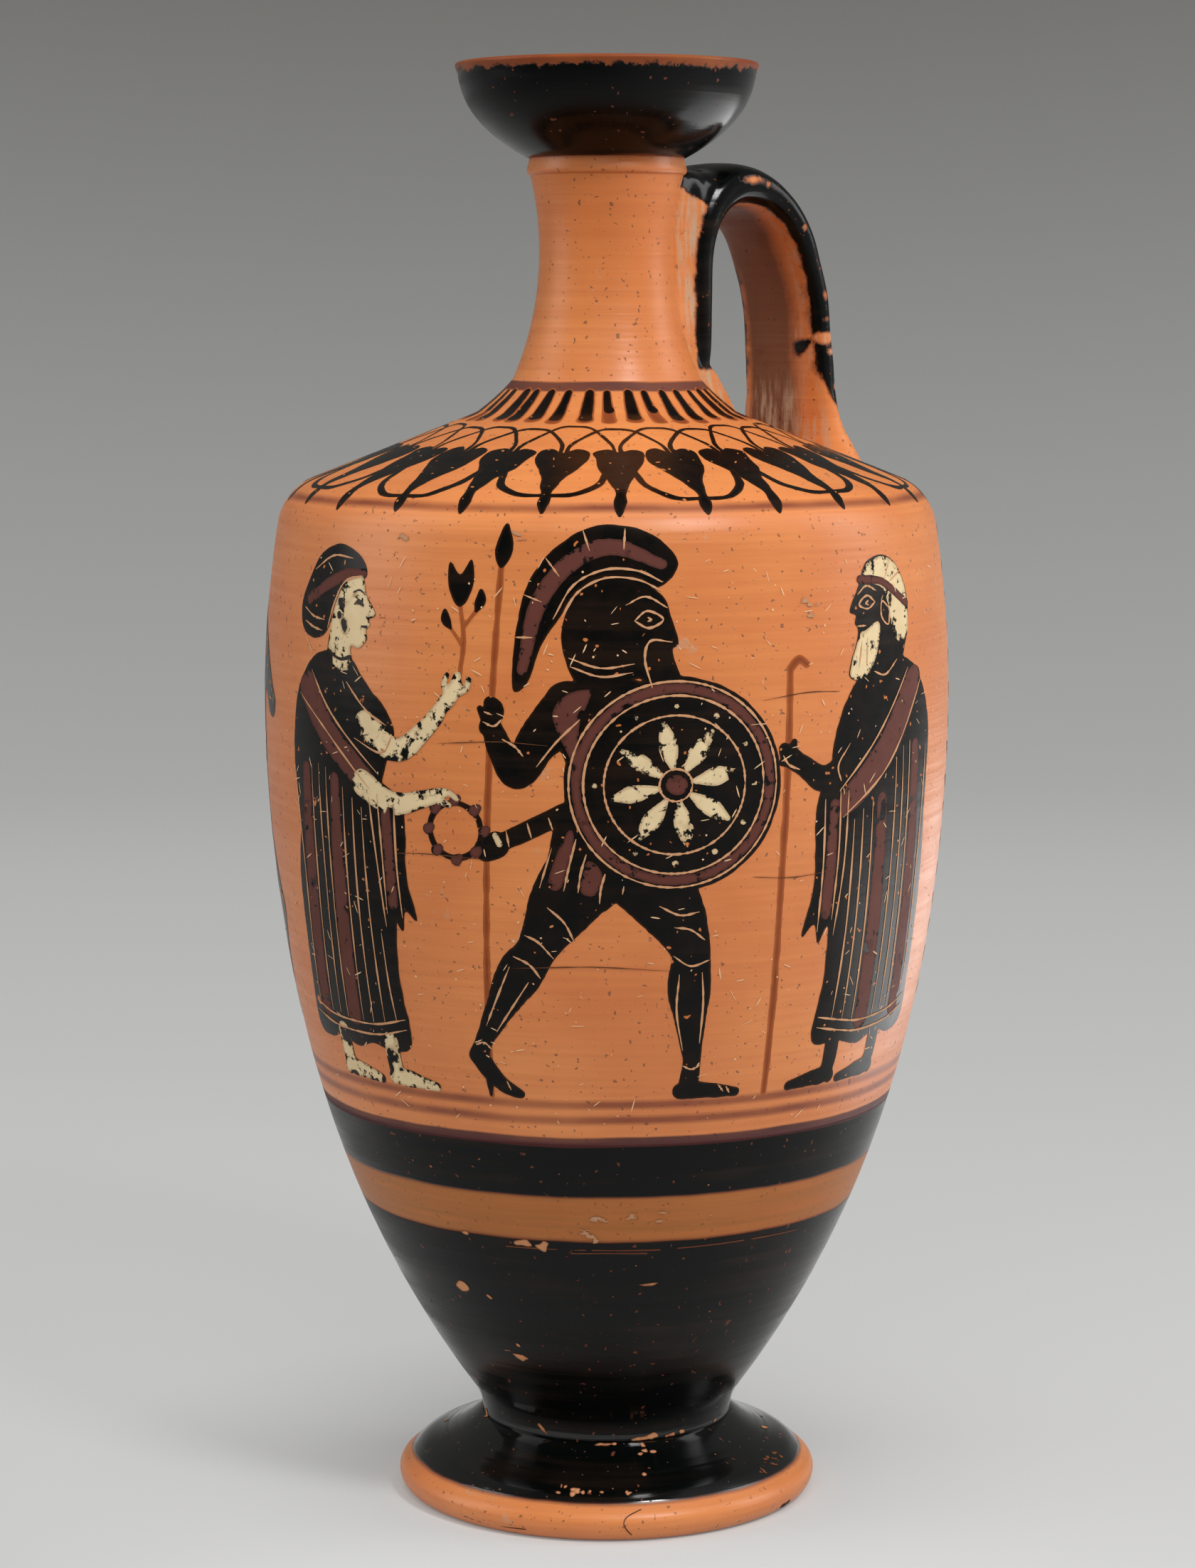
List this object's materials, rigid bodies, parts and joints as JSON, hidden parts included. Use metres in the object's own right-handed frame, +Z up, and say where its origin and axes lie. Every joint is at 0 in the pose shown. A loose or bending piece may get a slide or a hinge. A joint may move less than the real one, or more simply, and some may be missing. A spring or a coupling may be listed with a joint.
{
  "type": "lekythos",
  "caption": "Tall clay oil flask with a cup mouth, narrow neck, sloping shoulder, strap handle and disc foot, painted with black figures and ornament bands on orange clay.",
  "frame": {"origin": "centre of the foot's resting ring, on the plane that the vessel stands on", "axes": "+Z up along the vessel's axis, +Y towards the handle, -Y the front of the picture field"},
  "size_m": [0.1046, 0.1046, 0.22],
  "materials": {
    "clay": "burnished fired clay, satin",
    "black_gloss": "black gloss slip on clay",
    "luting_clay": "fired luting clay, matt"
  },
  "bodies": {
    "root": {"body": "clay", "neck": "clay", "mouth": "black_gloss", "foot": "black_gloss", "handle": "black_gloss", "mouth_luting_ring": "luting_clay", "neck_luting_ring": "luting_clay", "foot_luting_ring": "luting_clay", "handle_neck_luting": "luting_clay", "handle_shoulder_luting": "luting_clay"}
  },
  "joints": []
}
